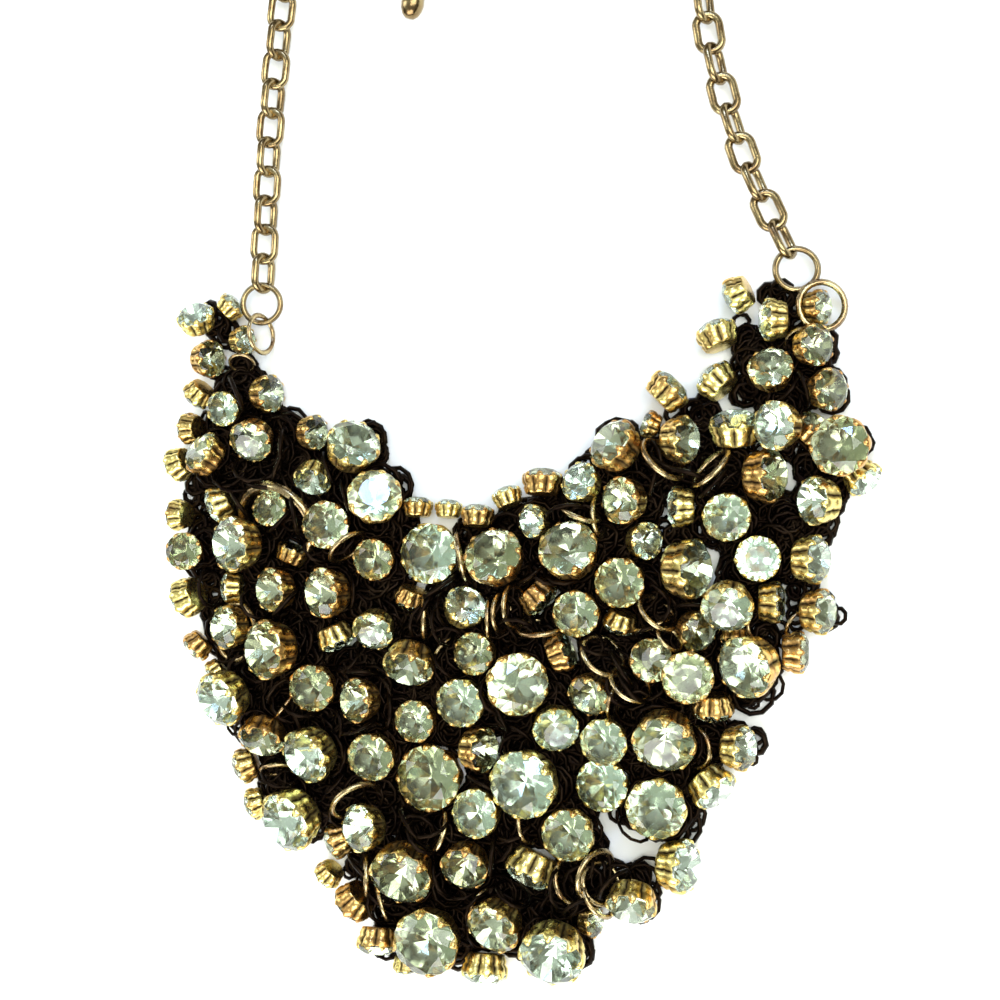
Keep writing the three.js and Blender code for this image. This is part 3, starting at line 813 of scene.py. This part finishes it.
# Each row is one ring: x, y and height of its middle, its width, the compass point that its face
# leans towards and by how many degrees.
jumpRings = [
    (-43.0, 27.0, 4.0, 6.5, "E", 74),
    (-46.5, 24.0, 5.5, 5.0, "S", 45),
    (-40.0, 17.0, 4.5, 7.0, "E", 62),
    (-56.0, 13.0, 4.5, 6.0, "W", 25),
    (-40.5, -4.0, 6.0, 13.0, "S", 15),
    (-26.5, -7.5, 5.5, 6.5, "SE", 78),
    (-47.0, -22.0, 4.5, 10.0, "W", 20),
    (-37.7, -33.0, 4.5, 5.0, "NW", 75),
    (-39.7, -43.5, 5.0, 5.5, "S", 60),
    (-25.0, -48.0, 5.0, 8.0, "SE", 60),
    (-23.5, -60.0, 4.5, 6.5, "W", 70),
    (-20.3, -64.0, 5.0, 6.5, "W", 75),
    (-12.7, -51.5, 5.0, 7.0, "W", 65),
    (-5.0, -62.0, 5.0, 6.0, "E", 75),
    (2.7, -50.5, 5.5, 6.0, "E", 70),
    (-7.0, -8.3, 7.5, 7.5, "W", 68),
    (-0.7, -17.5, 5.0, 6.0, "E", 80),
    (-2.8, -18.5, 4.5, 6.0, "W", 80),
    (1.6, -16.8, 5.0, 6.5, "E", 72),
    (-13.7, -18.3, 4.5, 7.0, "W", 75),
    (-11.2, -23.2, 4.5, 5.5, "SE", 75),
    (5.5, -20.0, 4.5, 7.0, "N", 70),
    (11.5, -3.0, 6.0, 6.0, "NE", 72),
    (14.0, -2.0, 5.5, 6.0, "E", 78),
    (25.2, 6.0, 6.0, 7.5, "NE", 70),
    (32.2, 4.8, 6.0, 7.0, "NW", 66),
    (30.7, 12.5, 6.5, 5.0, "NE", 60),
    (27.5, -3.0, 7.0, 11.5, "S", 12),
    (24.7, -4.5, 6.5, 7.5, "NE", 60),
    (33.3, -10.0, 6.5, 7.0, "E", 50),
    (25.5, -12.0, 5.5, 8.0, "N", 65),
    (24.0, -17.0, 5.0, 6.5, "NE", 68),
    (22.0, -20.0, 5.5, 6.5, "NW", 68),
    (15.5, -23.7, 5.0, 7.0, "NE", 60),
    (20.0, -27.5, 6.0, 6.5, "NE", 60),
    (16.7, -31.0, 5.5, 5.5, "E", 78),
    (26.5, -21.0, 5.5, 5.0, "NE", 65),
    (30.5, -36.0, 5.5, 7.0, "W", 45),
    (34.0, -33.5, 5.0, 6.0, "N", 40),
    (40.1, -17.5, 5.5, 5.5, "E", 60),
    (43.0, -16.5, 5.5, 5.5, "SE", 65),
    (43.4, -13.7, 6.0, 6.0, "E", 40),
    (42.0, -4.5, 7.0, 8.5, "SW", 25),
    (43.5, 30.0, 4.0, 8.0, "N", 40),
    (48.0, 28.0, 4.5, 7.0, "E", 30),
    (43.5, 24.0, 4.5, 6.0, "S", 30),
    (10.7, -57.5, 5.5, 7.5, "E", 76),
    (13.5, -57.0, 5.0, 8.0, "E", 62),
    (14.3, -61.0, 4.5, 7.0, "ENE", 70),
    (16.0, -57.5, 4.0, 7.0, "NE", 55),
]
jumpRingWire = 0.00085


nudge = {"tries": 400, "shift": 2.0, "drop": 3.5, "width": 1.4, "tilt": 22, "swing": 40,
         "cupCost": 0.3, "most": 0.7}


def readRing(row):
    # The ring of a row, nudged until it lies clear of the stones, or nothing if it can't.
    x, y, z, width, wind, tilt = row
    best = None
    for attempt in range(nudge["tries"]):
        share = attempt / nudge["tries"]
        facing = facingOf(wind, min(88, max(0, tilt + share * chance.uniform(-1, 1) * nudge["tilt"])))
        facing.rotate(Quaternion(up, math.radians(share * chance.uniform(-1, 1) * nudge["swing"])))
        size = width + share * chance.uniform(-1, 0.4) * nudge["width"]
        # A wide ring has thicker wire.
        reach = size / 2 * (math.sqrt(1 - facing.z ** 2) + jumpRingWire / ringWidth)
        shift = nudge["shift"] * share
        height = max(z - share * chance.random() * nudge["drop"], reach)
        place = atChart(x + chance.uniform(-shift, shift), y + chance.uniform(-shift, shift), height)
        turn = up.rotation_difference(facing)
        met = meetsStones(loopPoints(place, turn, size * mm), nudge["cupCost"])
        if best is None or met < best[0]:
            best = (met, {"place": place, "turn": turn, "width": size * mm, "tone": chance.random()})
        if met == 0:
            break
    return best[1] if best[0] <= nudge["most"] else None


shownRings = [ring for ring in map(readRing, jumpRings) if ring]
points = pointObject(shownRings, "points")
piece = grow(points, wireRings, "jump_rings", Wire=jumpRingWire, Sides=24, Material=wireBrass)
finishPiece(piece, "chain_brass")
say(f"{len(shownRings)} of {len(jumpRings)} jump rings placed")


# The chains.

chainSizes = {"Link Length": 0.0069, "Link Width": 0.0048, "Wire": 0.00125,
              "Flat Roll": math.radians(12), "Upright Roll": math.radians(68)}
shoulderRing = {"width": 7.2, "wire": 0.95, "roll": 15, "reach": 5.075}
chainPitch = 4.8
chainHeight = 2.4
leftRoute = [(-43, 37.5), (-41.8, 60), (-39.7, 80), (-35, 116), (-28, 138), (-17, 150), (-10.9, 151)]
rightRoute = [(42.3, 38.8), (36.2, 52.5), (30.5, 75), (29, 116), (24, 138), (13, 150), (6.9, 151)]
extenderRoute = [(-2, 144.7), (-2.2, 139), (-5, 125), (-10.5, 107), (-14.8, 88.2)]


def smoothRoute(route, steps=24):
    # A centripetal curve through the route's points.
    points = [Vector(point) for point in route]
    points = [2 * points[0] - points[1], *points, 2 * points[-1] - points[-2]]
    smooth = []
    for p0, p1, p2, p3 in zip(points, points[1:], points[2:], points[3:]):
        t0, t1, t2 = ((b - a).length ** 0.5 for a, b in ((p0, p1), (p1, p2), (p2, p3)))
        m1 = ((p1 - p0) / t0 - (p2 - p0) / (t0 + t1) + (p2 - p1) / t1) * t1
        m2 = ((p2 - p1) / t1 - (p3 - p1) / (t1 + t2) + (p3 - p2) / t2) * t1
        for i in range(steps):
            t = i / steps
            smooth.append(p1 + m1 * t + (3 * (p2 - p1) - 2 * m1 - m2) * t * t
                          + (2 * (p1 - p2) + m1 + m2) * t * t * t)
    return [*smooth, points[-2]]


def routeCurve(route):
    points = smoothRoute(route)
    curve = bpy.data.curves.new("route", "CURVE")
    curve.dimensions = "3D"
    spline = curve.splines.new("POLY")
    spline.points.add(len(points) - 1)
    for target, (x, y) in zip(spline.points, points):
        target.co = (*atChart(x, y, chainHeight), 1)
    length = sum((b - a).length for a, b in zip(points, points[1:]))
    path = bpy.data.objects.new("route", curve)
    bpy.context.scene.collection.objects.link(path)
    return path, 2 * round(length / chainPitch / 2) + 1


for chainName, route in (("chain_left", leftRoute), ("chain_right", rightRoute),
                         ("extender_chain", extenderRoute)):
    path, count = routeCurve(route)
    links = grow(path, cableChain, chainName + "_links", Links=count, Material=chainBrass,
                 **{label.replace(" ", "_"): value for label, value in chainSizes.items()})
    finishPiece(links, "chain_brass", chainName)
    if chainName.startswith("chain_"):
        (x, y), (nextX, nextY) = smoothRoute(route)[:2]
        along = Vector((nextX - x, nextY - y, 0)).normalized()
        place = atChart(x, y, chainHeight) - along * shoulderRing["reach"] * mm
        turn = (Quaternion(up, math.atan2(along.y, along.x))
                @ Quaternion((1, 0, 0), math.radians(shoulderRing["roll"])))
        row = {"place": place, "turn": turn,
               "width": (shoulderRing["width"] - shoulderRing["wire"]) * mm, "tone": 0.5}
        ring = grow(pointObject([row], "points"), wireRings, chainName + "_ring",
                    Wire=shoulderRing["wire"] * ringWidth / row["width"] * mm, Sides=32, Material=chainBrass)
        finishPiece(ring, "chain_brass", chainName)
say("chains linked")

for template in (crownTemplate, crystalTemplate):
    bpy.data.objects.remove(template)

clasp = {"at": (-2, 151, 2.4), "length": 10, "width": 4.8, "flatness": 0.5,
         "eye": 5, "wire": 1.2, "sunk": 0.3}
dropShape = {"length": 7.5, "start": 3.75, "height": 1.9, "sides": 28, "profile": [
    (0.0, 0.0), (0.42, 0.0), (0.66, 0.25), (0.68, 0.7), (0.62, 1.2), (0.95, 1.9), (1.4, 2.8), (1.75, 4.0),
    (1.87, 5.1), (1.72, 6.0), (1.3, 6.9), (0.7, 7.4), (0.0, 7.5)]}


def turnedBody(name, profile, sides):
    # A round body from (radius, height) pairs in millimetres, its poles closed.
    bm = bmesh.new()
    rows = []
    for radius, height in profile:
        count = sides if radius else 1
        rows.append([bm.verts.new((radius * mm * math.cos(2 * math.pi * i / sides),
                                   radius * mm * math.sin(2 * math.pi * i / sides), height * mm))
                     for i in range(count)])
    for lower, upper in zip(rows, rows[1:]):
        for i in range(sides):
            j = (i + 1) % sides
            corners = [lower[i % len(lower)], lower[j % len(lower)],
                       upper[j % len(upper)], upper[i % len(upper)]]
            bm.faces.new(list(dict.fromkeys(corners))).smooth = True
    bmesh.ops.recalc_face_normals(bm, faces=bm.faces)
    mesh = bpy.data.meshes.new(name)
    bm.to_mesh(mesh)
    bm.free()
    piece = bpy.data.objects.new(name, mesh)
    bpy.context.scene.collection.objects.link(piece)
    piece.data.materials.append(chainBrass)
    return piece


def layInPlace(piece, matrix):
    piece.data.transform(matrix)
    piece.data.update()


(fromX, fromY), (toX, toY) = extenderRoute[-2:]
heading = Vector((toX - fromX, toY - fromY, 0)).normalized()
body = turnedBody("drop_body", dropShape["profile"], dropShape["sides"])
start = atChart(toX, toY, dropShape["height"]) + heading * dropShape["start"] * mm
layInPlace(body, Matrix.Translation(start) @ up.rotation_difference(heading).to_matrix().to_4x4())
finishPiece(body, "chain_brass", "extender_drop")

half, bulge = clasp["length"] / 2, clasp["width"] / 2
arc = [math.radians(angle) for angle in range(0, 91, 15)]
ends = [(bulge * math.sin(a), half - bulge + bulge * math.cos(a)) for a in arc]
ends[0] = (0.0, half)
profile = [(radius, -height) for radius, height in ends] + ends[::-1]
body = turnedBody("clasp_body", profile, 32)
flat = Matrix.Diagonal((1, 1, clasp["flatness"], 1))
layInPlace(body, Matrix.Translation(atChart(*clasp["at"])) @ flat @ Matrix.Rotation(math.pi / 2, 4, "Y"))
finishPiece(body, "chain_brass", "clasp")
reach = clasp["eye"] / 2 - clasp["wire"] - clasp["sunk"]
eyes = [(-half - reach, 0), (half + reach, 0), (0, -bulge - reach)]
x, y, z = clasp["at"]
rows = [{"place": atChart(x + right, y + along, z), "turn": Quaternion(),
         "width": (clasp["eye"] - clasp["wire"]) * mm,
         "tone": 0.5} for right, along in eyes]
piece = grow(pointObject(rows, "points"), wireRings, "clasp_eyes",
             Wire=clasp["wire"] * mm * ringWidth / ((clasp["eye"] - clasp["wire"]) * mm), Sides=28,
             Material=chainBrass)
finishPiece(piece, "chain_brass", "clasp")
say("clasp and drop shaped")


# Floor, light and camera.

stage = {"floor": (0.96, 0.96, 0.95), "size": 3.0}


def makeFloor():
    bm = bmesh.new()
    bmesh.ops.create_grid(bm, x_segments=1, y_segments=1, size=stage["size"] / 2)
    mesh = bpy.data.meshes.new("floor")
    bm.to_mesh(mesh)
    bm.free()
    floor = bpy.data.objects.new("floor", mesh)
    bpy.context.scene.collection.objects.link(floor)
    floor.location = (0, 0, -0.0001)
    material, tree, surface, place = newMaterial("floor_paper")
    cloud = noise(tree, place, 40.0)
    pale = (*stage["floor"], 1)
    shade = (*[value * 0.985 for value in stage["floor"]], 1)
    tree.links.new(mixColour(tree, cloud, pale, shade), surface.inputs["Base Color"])
    surface.inputs["Roughness"].default_value = 0.9
    mesh.materials.append(material)


lamps = [
    {"name": "window", "at": (-0.1, -0.75, 0.5), "size": (1.0, 0.45), "power": 10.5,
     "colour": (1.0, 1.0, 0.98)},
    {"name": "ceiling", "at": (0.45, 0.1, 0.8), "size": (0.5, 0.9), "power": 8.0,
     "colour": (0.97, 1.0, 0.97)},
    {"name": "left", "at": (-0.75, 0.2, 0.45), "size": (0.3, 0.6), "power": 2.6, "colour": (0.92, 0.96, 1.0)},
    {"name": "sky", "at": (0.15, 0.55, 0.6), "size": (0.16, 0.1), "power": 1.8, "colour": (0.42, 0.58, 1.0)},
]


room = {"walls": (0.20, 0.19, 0.15), "ceiling": (0.70, 0.76, 0.70), "wallTop": 0.25,
        "ceilingFrom": 0.8, "strength": 0.9}


def makeLights(centre):
    world = bpy.data.worlds.new("studio")
    bpy.context.scene.world = world
    world.use_nodes = True
    tree = world.node_tree
    background = tree.nodes["Background"]
    direction = tree.nodes.new("ShaderNodeTexCoord").outputs["Generated"]
    split = tree.nodes.new("ShaderNodeSeparateXYZ")
    tree.links.new(direction, split.inputs[0])
    rise = between(tree, split.outputs[2], room["wallTop"], room["ceilingFrom"])
    tree.links.new(mixColour(tree, rise, (*room["walls"], 1), (*room["ceiling"], 1)), background.inputs[0])
    background.inputs[1].default_value = room["strength"]
    for row in lamps:
        light = bpy.data.lights.new(row["name"], "AREA")
        light.shape = "RECTANGLE"
        light.size, light.size_y = row["size"]
        light.energy = row["power"]
        light.color = row["colour"]
        lamp = bpy.data.objects.new(row["name"], light)
        lamp.location = centre + Vector(row["at"])
        lamp.rotation_mode = "QUATERNION"
        lamp.rotation_quaternion = (centre - lamp.location).to_track_quat("-Z", "Y")
        bpy.context.scene.collection.objects.link(lamp)


view = {"distance": 0.24, "yaw": 18, "height": 0.008, "lens": 56.3}


def makeCamera():
    target = origin + up * view["height"]
    yaw = math.radians(view["yaw"])
    back = Vector((math.sin(yaw), 0, math.cos(yaw)))
    data = bpy.data.cameras.new("camera")
    data.lens = view["lens"]
    data.clip_start = 0.01
    camera = bpy.data.objects.new("camera", data)
    camera.location = target + back * view["distance"]
    north = Vector((0, 1, 0))
    camera.rotation_mode = "QUATERNION"
    camera.rotation_quaternion = Matrix((north.cross(back), north, back)).transposed().to_quaternion()
    bpy.context.scene.collection.objects.link(camera)
    bpy.context.scene.camera = camera


makeFloor()
makeLights(origin)
makeCamera()
bpy.context.scene.view_settings.view_transform = "Standard"
say("stage set")
